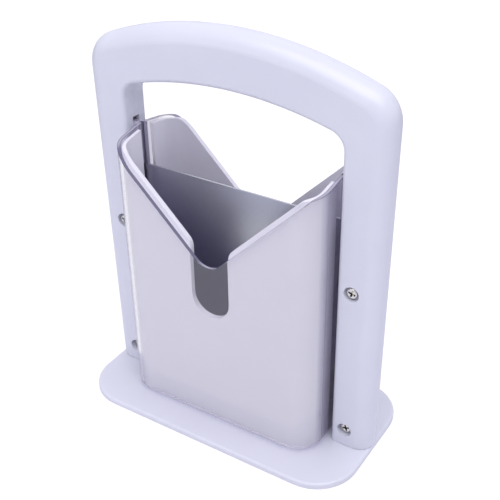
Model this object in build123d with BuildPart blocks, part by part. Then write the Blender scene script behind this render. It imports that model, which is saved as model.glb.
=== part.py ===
from build123d import *
import os
from math import atan2, cos, degrees, hypot, pi, radians, sin, sqrt

os.makedirs("parts", exist_ok=True)

# Bagel guillotine slicer.
# A white cradle in two halves stands on a flat base plate and holds a bagel on its edge.
# An arch handle in two shells carries the blade and two clear shields, slides straight down
# over the cradle and lifts off it again.
# Millimetres. +X to the right, +Z up, the front faces -Y, the origin is at the middle of the
# underside. Everything is shown with the handle pressed fully down.

# Driving dimensions, in millimetres

# Room for the bagel, and the cradle round it
cavity_length = 118.8
cavity_depth = 51.2
cavity_corner = 10.6
cradle_wall = 2.8
cradle_end_wall = 2.0
cradle_v_lift = 3.5
cradle_top_drop = 1.4
end_slot_width = 10.8
thumb_slot_width = 24.2
thumb_slot_depth = 32.1
thumb_slot_round = 8.0
saddle_rise = 25.5
saddle_thickness = 2.5
blade_slit = 3.0
cradle_boss_radius = 4.5
cradle_boss_height = 14.0
cradle_boss_sink = 0.9
cradle_boss_inset = 17.4

# Clear shields
running_gap = 0.6
shield_wall = 2.0
shield_height = 163.2
v_depth = 63.5
v_half_width = 63.5
v_round = 10.4
side_top_fall = 5.0
side_top_round = 4.0
flange_thickness = 2.1

# Blade
blade_thickness = 1.0
blade_drop = 25.2
blade_margin = 4.0
edge_clearance = 2.5
edge_slant = 10.0
saddle_clearance = 2.5
tooth_pitch = 5.0
tooth_depth = 1.2
tooth_flat = 0.5
bevel_height = 6.0
bevel_depth = 0.7

# Arch handle
overall_height = 235.0
crown_height = 30.1
crown_rise = 20.0
opening_rise = 10.3
leg_gap = 2.6
leg_width = 23.1
leg_flare = 1.6
handle_depth = 18.8
shoulder_round = 19.0
opening_round = 10.0
inner_edge_round = 2.5
parting_land = 0.4
shell_wall = 2.4
slot_gap = 0.1
slot_headroom = 2.8
pin_spacing = 90.0
pin_radius = 1.6
pin_length = 3.0
pin_gap = 0.1
pin_boss_radius = 3.6

# Leg screws, and the bosses that they clamp
leg_screw_inset = 8.4
leg_screw_height = 11.1
leg_screw_spacing = 93.5
upper_recess = 2.9
lower_recess = 4.2
recess_radius = 4.3
boss_wall = 1.5
rear_boss_radius = 3.5
leg_screw_reach = 7.0
head_radius = 3.2
head_height = 2.1
head_round = 0.9
shank_radius = 1.5
tip_chamfer = 0.5
thread_gap = 0.05
hole_gap = 0.2
tip_gap = 0.5
cross_width = 1.1
cross_span = 4.2
cross_depth = 1.5

# Base plate and what is let into it
base_depth = 96.0
base_thickness = 3.8
base_corner = 26.0
base_edge_round = 1.5
base_under_round = 0.4
rim_gap = 3.8
foot_gap = 0.2
cradle_recess = 2.3
cradle_recess_gap = 0.4
cradle_screw_reach = 11.0
pad_radius = 6.0
pad_thickness = 1.4
pad_proud = 0.4
pad_gap = 0.1
pad_edge = 14.0
pad_chamfer = 0.15

# How far a cut runs past what it cuts
overrun = 5.0

# Worked-out places, from the middle outwards
cavity_x = cavity_length / 2
cavity_y = cavity_depth / 2
cradle_x = cavity_x + cradle_end_wall
cradle_y = cavity_y + cradle_wall
cradle_corner = cavity_corner + cradle_wall
shield_inner_x = cradle_x + running_gap
shield_inner_y = cradle_y + running_gap
shield_inner_corner = cradle_corner + running_gap
shield_x = shield_inner_x + shield_wall
shield_y = shield_inner_y + shield_wall
shield_corner = shield_inner_corner + shield_wall
opening_x = shield_x + leg_gap
foot_x = opening_x + leg_width
shoulder_x = foot_x + leg_flare
handle_y = handle_depth / 2
blade_y = blade_thickness / 2
flange_y = blade_y + flange_thickness
screw_x = opening_x + leg_screw_inset
blade_x = screw_x + blade_margin

# Worked-out heights, from the counter upwards
base_top = pad_proud + base_thickness
foot_z = base_top + foot_gap
rim_z = base_top + rim_gap
lower_screw_z = foot_z + leg_screw_height
upper_screw_z = lower_screw_z + leg_screw_spacing
shield_top = rim_z + shield_height
shield_v_z = shield_top - v_depth
cradle_v_z = shield_v_z + cradle_v_lift
cradle_top = shield_top - cradle_top_drop
thumb_slot_z = cradle_v_z - thumb_slot_depth
blade_top = shield_top - blade_drop
ear_z = lower_screw_z - shank_radius - blade_margin
edge_low = rim_z + edge_clearance
edge_high = edge_low + edge_slant
saddle_z = edge_high + saddle_clearance
opening_top = overall_height - crown_height
shoulder_z = overall_height - crown_rise
spring_z = opening_top - opening_rise
slot_top = shield_top + slot_headroom

# The pieces either side of the blade: side -1 is the front, side +1 the rear
sides = {"front": -1, "rear": 1}
hands = {"left": -1, "right": 1}

# Two directions count as parallel when their unit vectors agree to this share
parallel_share = 0.9999

# How far each screw's cross came to rest turned, in degrees
cradle_screw_turn = 30
leg_screw_turns = {"lower": 18, "upper": -16}


def save(piece, label):
    """Names a finished piece and writes it under that name."""
    piece.part.label = label
    export_step(piece.part, "parts/" + label + ".step")


def arc_height(half_width, rise, top, x):
    """Height at x of the arc through (0, top) that falls by rise at half_width."""
    radius = (half_width**2 + rise**2) / (2 * rise)
    return top - radius + sqrt(radius**2 - x**2)


def upright(y):
    """An upright plane at y that looks forwards, with X to the right and Z up."""
    return Plane.XZ.offset(-y)


# Forms that the cradle and the shields share

def half_wall(outer, inner, side, end_y):
    """One half of a box wall seen from above, ending end_y away from the middle plane."""
    half_x, half_y, corner = outer
    with BuildSketch() as wall:
        RectangleRounded(2 * half_x, 2 * half_y, corner)
        RectangleRounded(2 * inner[0], 2 * inner[1], inner[2], mode=Mode.SUBTRACT)
        with Locations((0, -side * half_y)):
            Rectangle(2 * (half_x + overrun), 2 * (half_y + end_y), mode=Mode.SUBTRACT)
    return wall.sketch


def v_mouth(apex_z, apex_round, top_z):
    """The V mouth with its sides in line with the apex, open past the top."""
    reach = top_z + overrun - apex_z
    spread = reach * v_half_width / v_depth
    with BuildSketch() as mouth:
        with BuildLine():
            Polyline((0, apex_z), (spread, apex_z + reach), (-spread, apex_z + reach), close=True)
        make_face()
        if apex_round:
            fillet(mouth.vertices().sort_by(Axis.Y)[0], apex_round)
    return mouth.sketch


def under_roof(top_z, side, near_y, far_y):
    """What lies under the side walls' top edge, which falls away from the middle plane."""
    fall_share = side_top_fall / shield_y
    with BuildSketch() as below:
        with BuildLine():
            Polyline((side * near_y, 0), (side * near_y, top_z - fall_share * near_y),
                     (side * far_y, top_z - fall_share * far_y), (side * far_y, 0), close=True)
        make_face()
    return below.sketch


def is_ridge(edge):
    """True for an edge where a side of the V mouth meets the falling top of a side wall."""
    along = edge % 0.5
    for hand in hands.values():
        for side in sides.values():
            v_side = Vector(-hand * v_depth, 0, v_half_width)
            slope = Vector(0, side * side_top_fall, shield_y)
            if abs(along.dot(v_side.cross(slope).normalized())) > parallel_share:
                return True
    return False


def rim_form(apex_z, apex_round, top_z, corner_y, side):
    """A block with the rim's shape on top: the falling top edge, the V mouth beyond corner_y, and
    a round where the two meet."""
    with BuildPart() as form:
        with BuildSketch(Plane.YZ):
            add(under_roof(top_z, side, corner_y, shield_y + overrun))
        extrude(amount=blade_x + overrun, both=True)
        with BuildSketch(upright(side * corner_y)):
            add(v_mouth(apex_z, apex_round, top_z))
        extrude(amount=-side * (shield_y + overrun), mode=Mode.SUBTRACT)
        fillet(form.edges().filter_by(is_ridge), side_top_round)
        with BuildSketch(Plane.YZ):
            add(under_roof(top_z, side, 0, corner_y))
        extrude(amount=blade_x + overrun, both=True)
    return form.part


def rim_edges(form, side, outside):
    """The edges of the arch's broad face: those round its outside, or those round its opening."""
    face = form.faces().sort_by(Axis.Y)[-1 if side > 0 else 0]
    middle_x = (opening_x + foot_x) / 2
    middle_z = (opening_top + overall_height) / 2
    return face.edges().filter_by(Axis.X, reverse=True).filter_by(
        lambda edge: (abs(edge.center().X) > middle_x or edge.center().Z > middle_z) == outside)


def arch_form(inset, inner_round, side):
    """One half of the arch, from the middle plane outwards, inset all round, with round edges."""
    with BuildPart() as form:
        with BuildSketch(Plane.XZ) as outline:
            with BuildLine():
                Line((-opening_x, foot_z), (-foot_x, foot_z))
                Line((-foot_x, foot_z), (-shoulder_x, shoulder_z))
                ThreePointArc((-shoulder_x, shoulder_z), (0, overall_height), (shoulder_x, shoulder_z))
                Line((shoulder_x, shoulder_z), (foot_x, foot_z))
                Line((foot_x, foot_z), (opening_x, foot_z))
                Line((opening_x, foot_z), (opening_x, spring_z))
                ThreePointArc((opening_x, spring_z), (0, opening_top), (-opening_x, spring_z))
                Line((-opening_x, spring_z), (-opening_x, foot_z))
            make_face()
            fillet(outline.vertices().group_by(Axis.Y)[-2], opening_round)
            fillet(outline.vertices().group_by(Axis.Y)[-1], shoulder_round)
            if inset:
                offset(amount=-inset)
        extrude(amount=-side * (handle_y - inset))
        fillet(rim_edges(form, side, True), handle_y - parting_land - inset)
        if inner_round:
            fillet(rim_edges(form, side, False), inner_round)
    return form.part


def screw(seat, reach):
    """A pan-head screw whose head sits on the seat plane, with its shank along the plane's normal
    and its cross along the plane's own axes."""
    along = Axis(seat.origin, seat.z_dir)
    with BuildPart() as piece:
        with BuildSketch(seat):
            Circle(head_radius)
        extrude(amount=-head_height)
        fillet(piece.faces().sort_by(along)[0].edges(), head_round)
        with BuildSketch(seat.offset(-head_height)):
            Rectangle(cross_span, cross_width)
            Rectangle(cross_width, cross_span)
        extrude(amount=cross_depth, mode=Mode.SUBTRACT)
        with BuildSketch(seat):
            Circle(shank_radius)
        extrude(amount=reach)
        chamfer(piece.faces().sort_by(along)[-1].edges(), tip_chamfer)
    return piece


# Base plate

pad_x = foot_x - base_corner + (base_corner - pad_edge) * sin(pi / 4)
pad_y = base_depth / 2 - base_corner + (base_corner - pad_edge) * sin(pi / 4)
cradle_screw_x = cavity_x - cradle_boss_inset
cradle_screw_y = cavity_y - cradle_boss_radius + cradle_boss_sink
corners = [(hand, side) for hand in hands.values() for side in sides.values()]
cradle_screws = [(hand * cradle_screw_x, side * cradle_screw_y) for hand, side in corners]
pads = [(hand * pad_x, side * pad_y) for hand, side in corners]
pad_pocket = pad_thickness - pad_proud

with BuildPart() as base_plate:
    with BuildSketch(Plane.XY.offset(pad_proud)):
        RectangleRounded(2 * foot_x, base_depth, base_corner)
    extrude(amount=base_thickness)
    fillet(base_plate.faces().sort_by(Axis.Z)[-1].edges(), base_edge_round)
    fillet(base_plate.faces().sort_by(Axis.Z)[0].edges(), base_under_round)
    with BuildSketch(Plane.XY.offset(pad_proud)):
        with Locations(*pads):
            Circle(pad_radius + pad_gap)
    extrude(amount=pad_pocket, mode=Mode.SUBTRACT)
    with BuildSketch(Plane.XY.offset(pad_proud)):
        with Locations(*cradle_screws):
            Circle(head_radius + cradle_recess_gap)
    extrude(amount=cradle_recess, mode=Mode.SUBTRACT)
    with BuildSketch(Plane.XY.offset(pad_proud)):
        with Locations(*cradle_screws):
            Circle(shank_radius + hole_gap)
    extrude(amount=base_thickness + overrun, mode=Mode.SUBTRACT)
save(base_plate, "base_plate")

# Anti-slip pads in their pockets

for side_name, side in sides.items():
    for hand_name, hand in hands.items():
        with BuildPart() as foot_pad:
            with BuildSketch(Plane.XY):
                with Locations((hand * pad_x, side * pad_y)):
                    Circle(pad_radius)
            extrude(amount=pad_thickness)
            chamfer(foot_pad.faces().sort_by(Axis.Z)[0].edges(), pad_chamfer)
        save(foot_pad, "foot_pad_" + side_name + "_" + hand_name)

# Cradle halves, with the saddle that carries the bagel's edge and the bosses for their screws

for side_name, side in sides.items():
    rim = rim_form(cradle_v_z, 0, cradle_top, cradle_y - cradle_corner, side)
    with BuildPart() as cradle:
        with BuildSketch(upright(side * blade_slit / 2)):
            with BuildLine():
                end_z = saddle_z + saddle_rise
                ThreePointArc((-cavity_x, end_z), (0, saddle_z), (cavity_x, end_z))
                Line((cavity_x, end_z), (cavity_x, end_z - saddle_thickness))
                ThreePointArc((cavity_x, end_z - saddle_thickness), (0, saddle_z - saddle_thickness),
                              (-cavity_x, end_z - saddle_thickness))
                Line((-cavity_x, end_z - saddle_thickness), (-cavity_x, end_z))
            make_face()
        extrude(amount=-side * cradle_y)
        with BuildSketch(Plane.XY.offset(base_top)):
            RectangleRounded(cavity_x + cradle_x, cavity_y + cradle_y, (cavity_corner + cradle_corner) / 2)
        extrude(amount=cradle_top - base_top, mode=Mode.INTERSECT)
        with BuildSketch(Plane.XY.offset(base_top)):
            add(half_wall((cradle_x, cradle_y, cradle_corner), (cavity_x, cavity_y, cavity_corner),
                          side, end_slot_width / 2))
        extrude(amount=cradle_top - base_top)
        add(rim, mode=Mode.INTERSECT)
        with BuildSketch(upright(side * (cradle_y - cradle_corner))) as mouth:
            add(v_mouth(cradle_v_z, 0, cradle_top))
            slot_centre_z = thumb_slot_z + thumb_slot_width / 2
            lip_z = cradle_v_z + v_depth * thumb_slot_width / 2 / v_half_width
            with Locations((0, slot_centre_z)):
                Circle(thumb_slot_width / 2)
                Rectangle(thumb_slot_width, lip_z - slot_centre_z, align=(Align.CENTER, Align.MIN))
            lips = mouth.vertices().filter_by(lambda corner: cradle_v_z < corner.Y < cradle_top)
            fillet(lips, thumb_slot_round)
        extrude(amount=-side * (cradle_corner + overrun), mode=Mode.SUBTRACT)
        with BuildSketch(Plane.XY.offset(base_top)):
            with Locations(*[(hand * cradle_screw_x, side * cradle_screw_y) for hand in hands.values()]):
                Circle(cradle_boss_radius)
        extrude(amount=cradle_boss_height)
        with BuildSketch(Plane.XY.offset(base_top)):
            with Locations(*[(hand * cradle_screw_x, side * cradle_screw_y) for hand in hands.values()]):
                Circle(shank_radius + thread_gap)
        extrude(amount=cradle_screw_reach - (base_thickness - cradle_recess) + tip_gap, mode=Mode.SUBTRACT)
    save(cradle, "cradle_" + side_name)

# Screws from beneath that hold the cradle halves on the plate

for side_name, side in sides.items():
    for hand_name, hand in hands.items():
        seat_point = (hand * cradle_screw_x, side * cradle_screw_y, pad_proud + cradle_recess)
        turn = radians(cradle_screw_turn)
        seat = Plane(seat_point, x_dir=(cos(turn), sin(turn), 0), z_dir=(0, 0, 1))
        cradle_screw = screw(seat, cradle_screw_reach)
        save(cradle_screw, "cradle_screw_" + side_name + "_" + hand_name)

# Clear shields that close round the cradle, with flanges that the legs clamp

leg_screws = [(hand * screw_x, z) for hand in hands.values() for z in (lower_screw_z, upper_screw_z)]

for side_name, side in sides.items():
    rim = rim_form(shield_v_z, v_round, shield_top, shield_y - shield_corner, side)
    with BuildPart() as shield:
        with BuildSketch(Plane.XY.offset(rim_z)):
            add(half_wall((shield_x, shield_y, shield_corner),
                          (shield_inner_x, shield_inner_y, shield_inner_corner), side, blade_y))
            for hand in hands.values():
                with Locations((hand * (shield_inner_x + blade_x) / 2, side * (blade_y + flange_y) / 2)):
                    Rectangle(blade_x - shield_inner_x, flange_thickness)
        extrude(amount=shield_height)
        add(rim, mode=Mode.INTERSECT)
        with BuildSketch(upright(side * blade_y)):
            with Locations(*leg_screws):
                Circle(shank_radius + hole_gap)
        extrude(amount=-side * flange_y, mode=Mode.SUBTRACT)
    save(shield, "shield_" + side_name)

# Blade: a plate whose ears reach into the legs, with a slanted, scalloped and ground lower edge

edge_length = hypot(2 * shield_x, edge_slant)
edge_angle = degrees(atan2(edge_slant, 2 * shield_x))
tooth_count = int(edge_length / tooth_pitch)
tooth_chord = tooth_pitch - tooth_flat
tooth_radius = (tooth_chord**2 / 4 + tooth_depth**2) / (2 * tooth_depth)

with BuildPart() as blade:
    with BuildSketch(upright(-blade_y)):
        with BuildLine():
            Polyline((-blade_x, blade_top), (blade_x, blade_top), (blade_x, ear_z), (shield_x, ear_z),
                     (shield_x, edge_high), (-shield_x, edge_low), (-shield_x, ear_z), (-blade_x, ear_z),
                     close=True)
        make_face()
        with Locations(*leg_screws):
            Circle(shank_radius + hole_gap, mode=Mode.SUBTRACT)
        with Locations(Location((0, (edge_low + edge_high) / 2, 0), (0, 0, edge_angle))):
            with Locations((0, tooth_depth - tooth_radius)):
                with GridLocations(tooth_pitch, 0, tooth_count, 1):
                    Circle(tooth_radius, mode=Mode.SUBTRACT)
    extrude(amount=-blade_thickness)
    along_edge = (2 * shield_x, 0, edge_slant)
    with BuildSketch(Plane((-shield_x, -blade_y, edge_low), x_dir=(0, 1, 0), z_dir=along_edge)):
        with BuildLine():
            Polyline((0, bevel_height), (bevel_depth, 0), (0, 0), close=True)
        make_face()
    extrude(amount=edge_length, mode=Mode.SUBTRACT)
save(blade, "blade")

# Arch handle: two hollow shells that meet on the middle plane

pin_x = pin_spacing / 2
pin_z = (arc_height(shoulder_x, crown_rise, overall_height, pin_x)
         + arc_height(opening_x, opening_rise, opening_top, pin_x)) / 2
pins = [(-pin_x, pin_z), (pin_x, pin_z)]
leg_recesses = {"lower": (lower_screw_z, lower_recess), "upper": (upper_screw_z, upper_recess)}

for side_name, side in sides.items():
    shell = arch_form(0, inner_edge_round, side)
    core = arch_form(shell_wall, 0, side)
    with BuildPart() as handle:
        add(shell)
        add(core, mode=Mode.SUBTRACT)
        with BuildSketch(Plane.XY.offset(foot_z - overrun)):
            for hand in hands.values():
                with Locations((hand * (opening_x + (shell_wall - overrun) / 2), 0)):
                    Rectangle(shell_wall + overrun, 2 * (flange_y + slot_gap))
        extrude(amount=slot_top - foot_z + overrun, mode=Mode.SUBTRACT)
        with BuildSketch(Plane.XZ):
            with Locations(*pins):
                Circle(pin_boss_radius)
        extrude(amount=-side * (handle_y - shell_wall / 2))
        with BuildSketch(upright(side * flange_y)):
            with Locations(*leg_screws):
                Circle(recess_radius + boss_wall if side < 0 else rear_boss_radius)
        extrude(amount=-side * (handle_y - shell_wall / 2 - flange_y))
        if side < 0:
            with BuildSketch(Plane.XZ):
                with Locations(*pins):
                    Circle(pin_radius)
            extrude(amount=-pin_length)
            for height, recess in leg_recesses.values():
                with BuildSketch(upright(-(handle_y - recess))):
                    with Locations((-screw_x, height), (screw_x, height)):
                        Circle(recess_radius)
                extrude(amount=recess + overrun, mode=Mode.SUBTRACT)
            with BuildSketch(upright(-flange_y)):
                with Locations(*leg_screws):
                    Circle(shank_radius + hole_gap)
            extrude(amount=handle_y, mode=Mode.SUBTRACT)
        else:
            with BuildSketch(Plane.XZ):
                with Locations(*pins):
                    Circle(pin_radius + pin_gap)
            extrude(amount=-(pin_length + tip_gap), mode=Mode.SUBTRACT)
            with BuildSketch(upright(flange_y)):
                with Locations(*leg_screws):
                    Circle(shank_radius + thread_gap)
            extrude(amount=-(leg_screw_reach + tip_gap - flange_y), mode=Mode.SUBTRACT)
    save(handle, "handle_" + side_name)

# Screws that clamp front shell, shield flange, blade, shield flange and rear shell together

for level, (height, recess) in leg_recesses.items():
    for hand_name, hand in hands.items():
        seat_y = -(handle_y - recess)
        turn = radians(leg_screw_turns[level])
        seat = Plane((hand * screw_x, seat_y, height), x_dir=(cos(turn), 0, sin(turn)), z_dir=(0, 1, 0))
        leg_screw = screw(seat, leg_screw_reach - seat_y)
        save(leg_screw, "leg_screw_" + level + "_" + hand_name)
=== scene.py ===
from math import pi, radians

import bpy
from mathutils import Matrix, Vector


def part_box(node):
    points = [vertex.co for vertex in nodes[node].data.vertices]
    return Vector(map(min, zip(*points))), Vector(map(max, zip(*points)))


# Bagel guillotine slicer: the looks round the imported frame.
# Metres, in the frame's own axes: +Z up, the front faces -Y.

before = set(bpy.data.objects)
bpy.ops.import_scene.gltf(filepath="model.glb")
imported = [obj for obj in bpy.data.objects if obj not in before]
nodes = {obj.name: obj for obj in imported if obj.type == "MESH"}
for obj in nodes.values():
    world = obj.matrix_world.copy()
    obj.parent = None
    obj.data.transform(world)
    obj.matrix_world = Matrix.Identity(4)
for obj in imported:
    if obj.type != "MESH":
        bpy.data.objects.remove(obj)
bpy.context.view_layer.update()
mm = 0.001

# Camera, placed by the photograph's own perspective

camera_place = Vector((0.23942, -0.35783, 0.37439))
camera_turn = radians(32.96)
camera_tilt = radians(-31.84)
camera_roll = radians(-1.04)
camera_lens_mm = 64.97
camera_sensor_mm = 36.0
clip_near = 0.01
clip_far = 20.0


def make_camera():
    data = bpy.data.cameras.new("photo_camera")
    data.lens = camera_lens_mm
    data.sensor_width = camera_sensor_mm
    data.clip_start = clip_near
    data.clip_end = clip_far
    camera = bpy.data.objects.new("photo_camera", data)
    camera.matrix_world = (Matrix.Translation(camera_place)
                           @ Matrix.Rotation(camera_turn, 4, "Z")
                           @ Matrix.Rotation(pi / 2 + camera_tilt, 4, "X")
                           @ Matrix.Rotation(camera_roll, 4, "Z"))
    bpy.context.scene.collection.objects.link(camera)
    bpy.context.scene.camera = camera


# Places on the object that its finishes follow, from the frame

running_gap = 0.6 * mm
shield_wall = 2.0 * mm
shield_skin_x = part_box("cradle_front")[1][0] + running_gap + shield_wall
blade_skin_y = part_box("blade")[1][1]
leg_skin_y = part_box("handle_rear")[1][1]
skin_margin = 0.1 * mm

# Sockets of a Mix node that is set to colours

mix_share = 0
mix_at_0 = 6
mix_at_1 = 7
mix_result = 2

# Colours and nodes. A texture's scale is one over the size of its features.


def linear(hex_code):
    """An sRGB hex colour as linear RGBA."""
    parts = [int(hex_code[i:i + 2], 16) / 255 for i in (1, 3, 5)]
    return [c / 12.92 if c <= 0.04045 else ((c + 0.055) / 1.055) ** 2.4 for c in parts] + [1.0]


def node(tree, kind, settings=None, links=None):
    """Adds a node. Settings go to its attributes or sockets, and each link joins an output socket, or
    a node's first one, to an input."""
    made = tree.nodes.new("ShaderNode" + kind)
    for key, value in (settings or {}).items():
        if isinstance(key, str) and hasattr(made, key):
            setattr(made, key, value)
        else:
            made.inputs[key].default_value = value
    for key, source in (links or {}).items():
        output = source.outputs[0] if isinstance(source, bpy.types.Node) else source
        tree.links.new(output, made.inputs[key])
    return made


def new_material(name):
    made = bpy.data.materials.new(name)
    made.use_nodes = True
    made.node_tree.nodes.clear()
    return made, made.node_tree


# Handle, plate and cradle


def moulded_abs(name, paler, deeper, roughness, scuffs):
    """ABS, injection-moulded in a polished steel mould: a satin gloss with a lavender cast. The colour
    clouds very faintly where the melt flowed, the mould's polishing leaves a fine grain, and upright
    scuffs dull the skin where the blade unit and the bagel slide along it. Real grain and scuffs are
    far finer, and these are as coarse as it takes to show."""
    cloud_size = 30 * mm
    grain_size = 0.9 * mm
    scuff_width = 0.8 * mm
    scuff_length = 30 * mm
    edge_round = 0.35 * mm
    wave_height = 0.3 * mm
    grain_height = 0.1 * mm
    material, tree = new_material(name)
    place = node(tree, "TexCoord").outputs["Object"]
    clouds = node(tree, "TexNoise", {"Scale": 1 / cloud_size, "Detail": 3.0}, {"Vector": place})
    colour = node(tree, "Mix", {"data_type": "RGBA", mix_at_0: linear(deeper), mix_at_1: linear(paler)},
                  {mix_share: clouds})
    upright = node(tree, "Mapping", {"Scale": (1 / scuff_width, 1 / scuff_width, 1 / scuff_length)},
                   {"Vector": place})
    rubbed = node(tree, "TexNoise", {"Scale": 1.0, "Detail": 2.0}, {"Vector": upright})
    dulled = node(tree, "MapRange",
                  {"From Min": 0.45, "From Max": 0.75, "To Min": roughness, "To Max": roughness + scuffs},
                  {"Value": rubbed})
    grain = node(tree, "TexNoise", {"Scale": 1 / grain_size, "Detail": 2.0}, {"Vector": place})
    rounded = node(tree, "Bevel", {"samples": 4, "Radius": edge_round})
    waves = node(tree, "Bump", {"Strength": 0.15, "Distance": wave_height},
                 {"Height": clouds, "Normal": rounded})
    skin = node(tree, "Bump", {"Strength": 0.03, "Distance": grain_height},
                {"Height": grain, "Normal": waves})
    shader = node(tree, "BsdfPrincipled", {"IOR": 1.54},
                  {"Base Color": colour.outputs[mix_result], "Roughness": dulled, "Normal": skin})
    node(tree, "OutputMaterial", links={"Surface": shader})
    return material


# Shields

# Parts of a face's normal: a cut rim has more than this of the upright, an end wall of the sideways
rim_facing = 0.3
end_facing = 0.95
san_ior = 1.57


def san_face(tree, place, facing, off_middle):
    """The shields' walls: bright and very slightly wavy, with hairline scuffs from sliding over the
    cradle, and looking deeper at a slant. The narrow end walls are streaked beside the legs, where they
    drag on the cradle. Real hairlines are far finer, and these are as coarse as it takes to show."""
    wave_size = 25 * mm
    hairline_width = 0.5 * mm
    hairline_length = 40 * mm
    edge_round = 0.6 * mm
    wave_height = 0.2 * mm
    streaks_fade_from = leg_skin_y + 3.6 * mm
    streaks_fade_to = leg_skin_y + 10.6 * mm
    flow = node(tree, "TexNoise", {"Scale": 1 / wave_size, "Detail": 1.0}, {"Vector": place})
    softened = node(tree, "Bevel", {"samples": 4, "Radius": edge_round})
    waves = node(tree, "Bump", {"Strength": 0.1, "Distance": wave_height},
                 {"Height": flow, "Normal": softened})
    upright = node(tree, "Mapping",
                   {"Scale": (1 / hairline_width, 1 / hairline_width, 1 / hairline_length)},
                   {"Vector": place})
    hairlines = node(tree, "TexNoise", {"Scale": 1.0, "Detail": 2.0}, {"Vector": upright})
    scuffed = node(tree, "MapRange", {"From Min": 0.5, "From Max": 0.75, "To Min": 0.02, "To Max": 0.14},
                   {"Value": hairlines})

    slant = node(tree, "LayerWeight", {"Blend": 0.5})
    longer = node(tree, "MapRange", {"From Min": 0.4, "From Max": 0.9}, {"Value": slant.outputs["Facing"]})
    depth = node(tree, "Mix",
                 {"data_type": "RGBA", mix_at_0: linear("#F0F0F1"), mix_at_1: linear("#CFCAD8")},
                 {mix_share: longer})

    endways = node(tree, "Math", {"operation": "ABSOLUTE"}, {0: facing.outputs["X"]})
    is_end = node(tree, "Math", {"operation": "GREATER_THAN", 1: end_facing}, {0: endways})
    by_leg = node(tree, "MapRange",
                  {"From Min": streaks_fade_from, "From Max": streaks_fade_to,
                   "To Min": 1.0, "To Max": 0.15},
                  {"Value": off_middle})
    streaks = node(tree, "MapRange", {"From Min": 0.35, "From Max": 0.65, "To Min": 0.6},
                   {"Value": hairlines})
    scraped = node(tree, "Math", {"operation": "MULTIPLY"}, {0: is_end, 1: by_leg})
    dragged = node(tree, "Math", {"operation": "MULTIPLY"}, {0: scraped, 1: streaks})
    tint = node(tree, "Mix", {"data_type": "RGBA", mix_at_1: linear("#C2BFCD")},
                {mix_share: dragged, mix_at_0: depth.outputs[mix_result]})
    return node(tree, "BsdfPrincipled", {"IOR": san_ior, "Transmission Weight": 1.0},
                {"Base Color": tint.outputs[mix_result], "Roughness": scuffed, "Normal": waves})


def san_rim(tree, normal_up):
    """The shields' cut rims, painted with the violet light that runs inside the wall and comes out there:
    painted deepest along the rim's own edges, and palest where it lies level."""
    edge_width = 0.7 * mm
    eased = node(tree, "Bevel", {"samples": 6, "Radius": edge_width})
    corner = node(tree, "VectorMath", {"operation": "DOT_PRODUCT"},
                  {0: eased, 1: node(tree, "NewGeometry").outputs["True Normal"]})
    inward = node(tree, "MapRange", {"From Min": 0.9, "From Max": 0.995},
                  {"Value": corner.outputs["Value"]})
    level = node(tree, "MapRange", {"From Min": 0.8, "From Max": 1.0}, {"Value": normal_up})
    # Painted light: the rims' violet glow, paler on faces that lie level, is painted into the base colour.
    painted_rim_light = node(tree, "Mix",
                   {"data_type": "RGBA", mix_at_0: linear("#8682A2"), mix_at_1: linear("#C8C4D8")},
                   {mix_share: level})
    # Painted shade: a dark violet along the rim's own edges.
    violet = node(tree, "Mix", {"data_type": "RGBA", mix_at_0: linear("#3E3A5C")},
                  {mix_share: inward, mix_at_1: painted_rim_light.outputs[mix_result]})
    return node(tree, "BsdfPrincipled", {"Roughness": 0.25, "IOR": san_ior, "Transmission Weight": 0.4},
                {"Base Color": violet.outputs[mix_result]})


def clear_san():
    """Clear styrene acrylonitrile, moulded in a mirror-polished tool: bright clear walls with rims in
    painted violet light. The flanges that the legs clamp are frosted, and the faces that meet along the
    blade are painted dark, as painted shade of the gap there. Shadow and diffuse rays pass straight
    through, as they nearly do in a thin clear wall."""
    material, tree = new_material("clear_san")
    place = node(tree, "TexCoord").outputs["Object"]
    facing = node(tree, "SeparateXYZ", links={0: node(tree, "NewGeometry").outputs["True Normal"]})
    where = node(tree, "SeparateXYZ", links={0: place})
    normal_up = node(tree, "Math", {"operation": "ABSOLUTE"}, {0: facing.outputs["Z"]})
    sideways = node(tree, "Math", {"operation": "ABSOLUTE"}, {0: where.outputs["X"]})
    off_middle = node(tree, "Math", {"operation": "ABSOLUTE"}, {0: where.outputs["Y"]})
    is_rim = node(tree, "Math", {"operation": "GREATER_THAN", 1: rim_facing}, {0: normal_up})
    is_flange = node(tree, "Math", {"operation": "GREATER_THAN", 1: shield_skin_x + skin_margin},
                     {0: sideways})
    is_seam = node(tree, "Math", {"operation": "LESS_THAN", 1: blade_skin_y + skin_margin},
                   {0: off_middle})

    face = san_face(tree, place, facing, off_middle)
    rim = san_rim(tree, normal_up)
    frosted = node(tree, "BsdfPrincipled", {"Base Color": linear("#C8C4D8"), "Roughness": 0.5,
                                            "IOR": san_ior, "Transmission Weight": 0.2})
    # Painted shade: the faces that meet along the blade are painted dark for the shadowed gap between the
    # shields.
    seam = node(tree, "BsdfPrincipled", {"Base Color": linear("#4A4460"), "Roughness": 0.3,
                                         "IOR": san_ior, "Transmission Weight": 0.3})
    solid = node(tree, "MixShader", links={"Fac": is_rim, 1: face, 2: rim})
    solid = node(tree, "MixShader", links={"Fac": is_seam, 1: solid, 2: seam})
    solid = node(tree, "MixShader", links={"Fac": is_flange, 1: solid, 2: frosted})

    light = node(tree, "LightPath")
    unseen = node(tree, "Math", {"operation": "MAXIMUM"},
                  {0: light.outputs["Is Shadow Ray"], 1: light.outputs["Is Diffuse Ray"]})
    cast = node(tree, "Mix",
                {"data_type": "RGBA", mix_at_0: linear("#F8F8F8"), mix_at_1: linear("#B4B0C4")},
                {mix_share: is_rim})
    through = node(tree, "BsdfTransparent", links={"Color": cast.outputs[mix_result]})
    mixed = node(tree, "MixShader", links={"Fac": unseen, 1: solid, 2: through})
    node(tree, "OutputMaterial", links={"Surface": mixed})
    return material


# Blade

# The cosine of the lean past which a face or a corner isn't flat sheet any more
flat_sheet = 0.998


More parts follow.
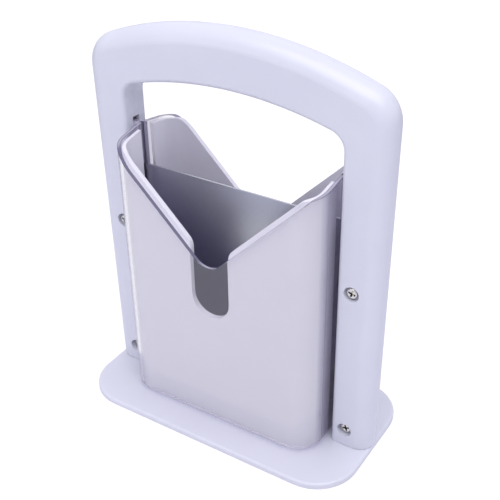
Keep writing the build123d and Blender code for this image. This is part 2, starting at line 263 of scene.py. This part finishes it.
def bared_edges(tree):
    """Where the blade's steel is bare: the ground bevel, which leans from the sheet's own face, and the
    sheared corners, where the coat has worn thin."""
    worn_width = 0.8 * mm
    facing = node(tree, "SeparateXYZ", links={0: node(tree, "NewGeometry").outputs["True Normal"]})
    square_on = node(tree, "Math", {"operation": "ABSOLUTE"}, {0: facing.outputs["Y"]})
    is_ground = node(tree, "Math", {"operation": "LESS_THAN", 1: flat_sheet}, {0: square_on})
    eased = node(tree, "Bevel", {"samples": 6, "Radius": worn_width})
    corner = node(tree, "VectorMath", {"operation": "DOT_PRODUCT"},
                  {0: eased, 1: node(tree, "NewGeometry").outputs["True Normal"]})
    worn = node(tree, "MapRange", {"From Min": flat_sheet, "From Max": 0.93, "To Max": 0.8},
                {"Value": corner.outputs["Value"]})
    return node(tree, "Math", {"operation": "MAXIMUM", "use_clamp": True}, {0: is_ground, 1: worn})


def sprayed_coat(tree, place):
    """The blade's grey coat: mottled, with a fine orange peel, both as coarse as it takes to show, and
    darker in painted shade down in the box, where the walls shut the light out."""
    speckle_size = 1.2 * mm
    peel_height = 0.1 * mm
    box_reach = 80 * mm
    speckle = node(tree, "TexNoise", {"Scale": 1 / speckle_size, "Detail": 4.0, "Roughness": 0.6},
                   {"Vector": place})
    colour = node(tree, "Mix",
                  {"data_type": "RGBA", mix_at_0: linear("#C8CAD1"), mix_at_1: linear("#D2D4DA")},
                  {mix_share: speckle})
    # Painted shade: ambient occlusion mixes the coat's colour towards a dark violet grey deep in the box.
    enclosed = node(tree, "AmbientOcclusion", {"samples": 8, "Distance": box_reach})
    openness = node(tree, "MapRange", {"From Min": 0.1, "From Max": 0.42},
                    {"Value": enclosed.outputs["AO"]})
    painted_shade = node(tree, "Mix", {"data_type": "RGBA", mix_at_0: linear("#A19EB6")},
                  {mix_share: openness, mix_at_1: colour.outputs[mix_result]})
    peel = node(tree, "Bump", {"Strength": 0.12, "Distance": peel_height}, {"Height": speckle})
    return node(tree, "BsdfPrincipled", {"Roughness": 0.42, "Metallic": 1.0},
                {"Base Color": painted_shade.outputs[mix_result], "Normal": peel})


def ground_steel(tree, place):
    """The blade's bare steel, with the grinding wheel's marks across the edge. Real marks are far
    finer, and these are as coarse as it takes to show."""
    mark_width = 0.35 * mm
    mark_reach = 5 * mm
    mark_length = 8 * mm
    mark_height = 0.05 * mm
    across = node(tree, "Mapping", {"Scale": (1 / mark_width, 1 / mark_reach, 1 / mark_length)},
                  {"Vector": place})
    marks = node(tree, "TexNoise", {"Scale": 1.0, "Detail": 3.0}, {"Vector": across})
    grinding = node(tree, "Bump", {"Strength": 0.3, "Distance": mark_height}, {"Height": marks})
    return node(tree, "BsdfPrincipled",
                {"Base Color": linear("#C4C5CC"), "Roughness": 0.3, "Metallic": 1.0}, {"Normal": grinding})


def coated_steel():
    """Rolled steel sheet under a sprayed grey non-stick coat, which has a soft sheen. The coat is ground
    off along the toothed edge, and it is thin on the sheared corners, so bare steel shows there."""
    material, tree = new_material("coated_steel")
    place = node(tree, "TexCoord").outputs["Object"]
    mixed = node(tree, "MixShader", links={"Fac": bared_edges(tree), 1: sprayed_coat(tree, place),
                                           2: ground_steel(tree, place)})
    node(tree, "OutputMaterial", links={"Surface": mixed})
    return material


# Screws and pads


def plated_steel():
    """Cold-headed steel screws, barrel-plated with bright zinc: small hard highlights, a fine spangle
    from tumbling against each other, drawn as coarse as it takes to show, and painted shade darkening
    the colour down in the cross."""
    spangle_size = 0.5 * mm
    dent_height = 0.05 * mm
    cross_reach = 1.5 * mm
    material, tree = new_material("plated_steel")
    place = node(tree, "TexCoord").outputs["Object"]
    spangle = node(tree, "TexVoronoi", {"Scale": 1 / spangle_size}, {"Vector": place})
    polish = node(tree, "MapRange", {"To Min": 0.1, "To Max": 0.22}, {"Value": spangle.outputs["Distance"]})
    dents = node(tree, "Bump", {"Strength": 0.1, "Distance": dent_height},
                 {"Height": spangle.outputs["Distance"]})
    # Painted shade: ambient occlusion darkens the colour to near black down in the cross.
    painted_cross_shade = node(tree, "AmbientOcclusion", {"samples": 6, "Distance": cross_reach})
    depth = node(tree, "MapRange", {"From Min": 0.25, "From Max": 0.75}, {"Value": painted_cross_shade.outputs["AO"]})
    colour = node(tree, "Mix",
                  {"data_type": "RGBA", mix_at_0: linear("#1A1916"), mix_at_1: linear("#F0EDE2")},
                  {mix_share: depth})
    shader = node(tree, "BsdfPrincipled", {"Metallic": 1.0},
                  {"Base Color": colour.outputs[mix_result], "Roughness": polish, "Normal": dents})
    node(tree, "OutputMaterial", links={"Surface": shader})
    return material


def thermoplastic_rubber():
    """Thermoplastic rubber, moulded against a spark-eroded face: matt and pale, with a fine even grain,
    drawn as coarse as it takes to show, and grey rubbed patches where the pads have slid on the
    counter."""
    grain_size = 0.4 * mm
    grain_height = 0.1 * mm
    patch_size = 4 * mm
    material, tree = new_material("thermoplastic_rubber")
    place = node(tree, "TexCoord").outputs["Object"]
    grain = node(tree, "TexNoise", {"Scale": 1 / grain_size, "Detail": 3.0}, {"Vector": place})
    patches = node(tree, "TexNoise", {"Scale": 1 / patch_size, "Detail": 3.0}, {"Vector": place})
    colour = node(tree, "Mix",
                  {"data_type": "RGBA", mix_at_0: linear("#BCBCC2"), mix_at_1: linear("#D0D0D4")},
                  {mix_share: patches})
    bumps = node(tree, "Bump", {"Strength": 0.3, "Distance": grain_height}, {"Height": grain})
    shader = node(tree, "BsdfPrincipled", {"Roughness": 0.8, "IOR": 1.5},
                  {"Base Color": colour.outputs[mix_result], "Normal": bumps})
    node(tree, "OutputMaterial", links={"Surface": shader})
    return material


def dress(names, material):
    """Puts the material on the named CAD nodes."""
    for name in names:
        piece = nodes[name]
        piece.data.materials.clear()
        piece.data.materials.append(material)


# Stage

floor_half_size = 20.0
bright_floor_reach = 0.3
dim_floor_reach = 0.6
horizon_strength = 0.52
zenith_strength = 0.8
backdrop_strength = 0.45


def studio_paper():
    """White paper: full white to the eye, also through the clear plastic, and plain paper in the light
    it throws back. In gloss it is bright near the slicer and softly grey further off."""
    material, tree = new_material("studio_paper")
    light = node(tree, "LightPath")
    paper = node(tree, "BsdfDiffuse", {"Color": linear("#E8E7EA")})
    glow = node(tree, "Emission", {"Color": linear("#FFFFFF"), "Strength": 1.25})
    lit = node(tree, "MixShader", {"Fac": 0.62}, {1: paper, 2: glow})
    reach = node(tree, "VectorMath", {"operation": "LENGTH"}, {0: node(tree, "TexCoord").outputs["Object"]})
    far_off = node(tree, "MapRange", {"From Min": bright_floor_reach, "From Max": dim_floor_reach},
                   {"Value": reach.outputs["Value"]})
    near = node(tree, "Emission", {"Color": linear("#E6E6FC"), "Strength": 0.95})
    dim = node(tree, "BsdfDiffuse", {"Color": linear("#8A8A98")})
    mirrored = node(tree, "MixShader", links={"Fac": far_off, 1: near, 2: dim})
    lent = node(tree, "MixShader", links={"Fac": light.outputs["Is Diffuse Ray"], 1: mirrored, 2: paper})
    straight = node(tree, "Math", {"operation": "MAXIMUM"},
                    {0: light.outputs["Is Camera Ray"], 1: light.outputs["Is Transmission Ray"]})
    mixed = node(tree, "MixShader", links={"Fac": straight, 1: lent, 2: lit})
    node(tree, "OutputMaterial", links={"Surface": mixed})
    return material


def make_floor():
    """A table top, level with the undersides of the pads."""
    corners = [(-1, -1), (1, -1), (1, 1), (-1, 1)]
    mesh = bpy.data.meshes.new("floor")
    mesh.from_pydata([(x * floor_half_size, y * floor_half_size, 0) for x, y in corners], [],
                     [(0, 1, 2, 3)])
    floor = bpy.data.objects.new("floor", mesh)
    bpy.context.scene.collection.objects.link(floor)
    mesh.materials.append(studio_paper())


def make_studio():
    """A white room to the eye, and for the light a dome that dims towards the horizon, with a bright
    backdrop behind the slicer."""
    world = bpy.data.worlds.new("studio")
    world.use_nodes = True
    tree = world.node_tree
    tree.nodes.clear()
    way = node(tree, "SeparateXYZ", links={0: node(tree, "TexCoord").outputs["Generated"]})
    rise = node(tree, "MapRange", {"From Max": 0.9, "To Min": horizon_strength, "To Max": zenith_strength},
                {"Value": way.outputs["Z"]})
    behind = node(tree, "MapRange", {"From Max": 0.8, "To Max": backdrop_strength},
                  {"Value": way.outputs["Y"]})
    strength = node(tree, "Math", {"operation": "ADD"}, {0: rise, 1: behind})
    dome = node(tree, "Background", {"Color": linear("#F5F5FF")}, {"Strength": strength})
    white = node(tree, "Background", {"Color": linear("#FFFFFF"), "Strength": 1.0})
    light = node(tree, "LightPath")
    mixed = node(tree, "MixShader", links={"Fac": light.outputs["Is Camera Ray"], 1: dome, 2: white})
    node(tree, "OutputWorld", links={"Surface": mixed})
    bpy.context.scene.world = world


def make_softbox(name, place, aim, width, height, watts):
    """A rectangular light that faces a place on the slicer."""
    data = bpy.data.lights.new(name, "AREA")
    data.shape = "RECTANGLE"
    data.size = width
    data.size_y = height
    data.energy = watts
    light = bpy.data.objects.new(name, data)
    light.location = place
    light.rotation_euler = (Vector(aim) - Vector(place)).to_track_quat("-Z", "Y").to_euler()
    bpy.context.scene.collection.objects.link(light)


make_camera()
make_floor()
make_studio()
make_softbox("overhead", place=(0.2, -0.43, 1.2), aim=(0, 0, 0.1), width=1.3, height=1.0, watts=10.6)
make_softbox("front_left", place=(-0.5, -1.05, 0.25), aim=(0, 0, 0.2), width=0.9, height=0.2, watts=1.0)
bpy.context.scene.view_settings.view_transform = "Standard"

# Finishes

# The handle has the most gloss, the plate is a little duller, and the cradle is the most scuffed. The
# cradle is also painted palest, as painted light, because it is seen through the shields.
satin = moulded_abs("moulded_abs_satin", paler="#D1D2DF", deeper="#CACBD9", roughness=0.3, scuffs=0.05)
plate = moulded_abs("moulded_abs_plate", paler="#D3D3E0", deeper="#CDCDDB", roughness=0.34, scuffs=0.08)
rubbed = moulded_abs("moulded_abs_rubbed", paler="#E1DFEA", deeper="#DCDAE5", roughness=0.36, scuffs=0.14)
dress(["handle_front", "handle_rear"], satin)
dress(["base_plate"], plate)
dress(["cradle_front", "cradle_rear"], rubbed)
dress(["shield_front", "shield_rear"], clear_san())
dress(["blade"], coated_steel())
dress([name for name in nodes if "screw" in name], plated_steel())
dress([name for name in nodes if name.startswith("foot_pad")], thermoplastic_rubber())
